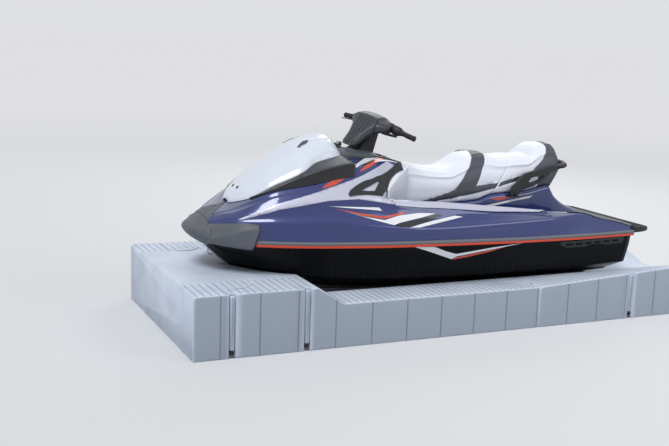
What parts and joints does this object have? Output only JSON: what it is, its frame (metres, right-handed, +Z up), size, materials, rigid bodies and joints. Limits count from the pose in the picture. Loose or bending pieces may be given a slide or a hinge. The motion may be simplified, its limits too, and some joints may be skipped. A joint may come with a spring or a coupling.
{
  "type": "personal watercraft",
  "caption": "Three-seat personal watercraft, dark blue, white and silver over a black hull, parked on a grey moulded drive-on port.",
  "frame": {"origin": "on the floor under the middle of the port that the craft stands on", "axes": "+X towards the bow, +Y to port (the rider's left), +Z up"},
  "size_m": [3.96, 1.52, 1.3584],
  "materials": {
    "port_shell": "satin",
    "port_black": "satin",
    "steel": "brushed",
    "gelcoat_black": "gloss",
    "gelcoat_blue": "gloss",
    "guard_grey": "matte",
    "rail_grey": "matte",
    "hood_white": "gloss",
    "pod_dark": "gloss",
    "panel_silver": "gloss",
    "trim_black": "satin",
    "cowl_grey": "satin",
    "seat_vinyl": "satin",
    "mat_foam": "matte",
    "rubber_black": "matte",
    "mirror_glass": "mirror",
    "cast_alloy": "satin",
    "engine_alloy": "matte",
    "louvre_grey": "satin",
    "display": "gloss"
  },
  "bodies": {
    "craft_and_port": {"port_front": "port_shell", "port_rear": "port_shell", "port_hatches": "port_shell", "port_pins": "port_black", "port_links": "port_black", "hull_lower": "gelcoat_black", "deck_upper": "gelcoat_blue", "engine": "engine_alloy", "bow_guard": "guard_grey", "rub_rail": "rail_grey", "side_panel_left": "panel_silver", "side_panel_right": "panel_silver", "knee_trim_left": "trim_black", "knee_trim_right": "trim_black", "deck_mats": "mat_foam", "stern_platform": "rubber_black", "dash": "trim_black", "steering_boot": "rubber_black", "gauge": "display", "seat_front": "seat_vinyl", "seat_rear": "seat_vinyl", "grab_rail": "trim_black", "bow_eye": "steel", "stern_eyes": "steel", "side_louvres": "louvre_grey", "intake_grate": "cast_alloy", "ride_plate": "cast_alloy", "jet_pump": "cast_alloy", "step_brackets": "steel"},
    "steering": {"steering_column": "cast_alloy", "handlebar": "steel", "handlebar_cowl": "cowl_grey", "grips": "rubber_black", "controls": "trim_black"},
    "nozzle": {"steering_nozzle": "cast_alloy"},
    "bucket": {"reverse_bucket": "cast_alloy"},
    "rotor": {"impeller": "steel"},
    "hood": {"hood": "hood_white", "hood_pod_left": "pod_dark", "hood_pod_right": "pod_dark", "mirrors": "mirror_glass"},
    "glovebox": {"glovebox_lid": "trim_black"},
    "step": {"boarding_step": "steel"}
  },
  "joints": [
    {"name": "steering", "type": "hinge", "parent": "craft_and_port", "child": "steering", "pos_m": [0.506, 0, 1.3003], "axis": [-0.5, 0, 0.866], "range_deg": [-35, 5]},
    {"name": "nozzle", "type": "hinge", "parent": "craft_and_port", "child": "nozzle", "pos_m": [-1.307, 0, 0.3096], "axis": [0, 0, 1], "range_deg": [-5, 35]},
    {"name": "bucket", "type": "hinge", "parent": "craft_and_port", "child": "bucket", "pos_m": [-1.245, 0, 0.3096], "axis": [0, -1, 0], "range_deg": [0, 34]},
    {"name": "impeller", "type": "hinge", "parent": "craft_and_port", "child": "rotor", "pos_m": [-1.045, 0, 0.3096], "axis": [1, 0, 0], "continuous": true},
    {"name": "hood", "type": "hinge", "parent": "craft_and_port", "child": "hood", "pos_m": [1.553, 0, 0.7999], "axis": [0, 1, 0], "range_deg": [0, 40]},
    {"name": "glovebox_lid", "type": "hinge", "parent": "craft_and_port", "child": "glovebox", "pos_m": [0.515, 0, 1.0785], "axis": [0, 1, 0], "range_deg": [0, 75]},
    {"name": "boarding_step", "type": "hinge", "parent": "craft_and_port", "child": "step", "pos_m": [-1.338, 0, 0.3803], "axis": [0, -1, 0], "range_deg": [0, 113]}
  ],
  "couplings": [
    {"joint": "nozzle", "follows": "steering", "ratio": -1}
  ]
}
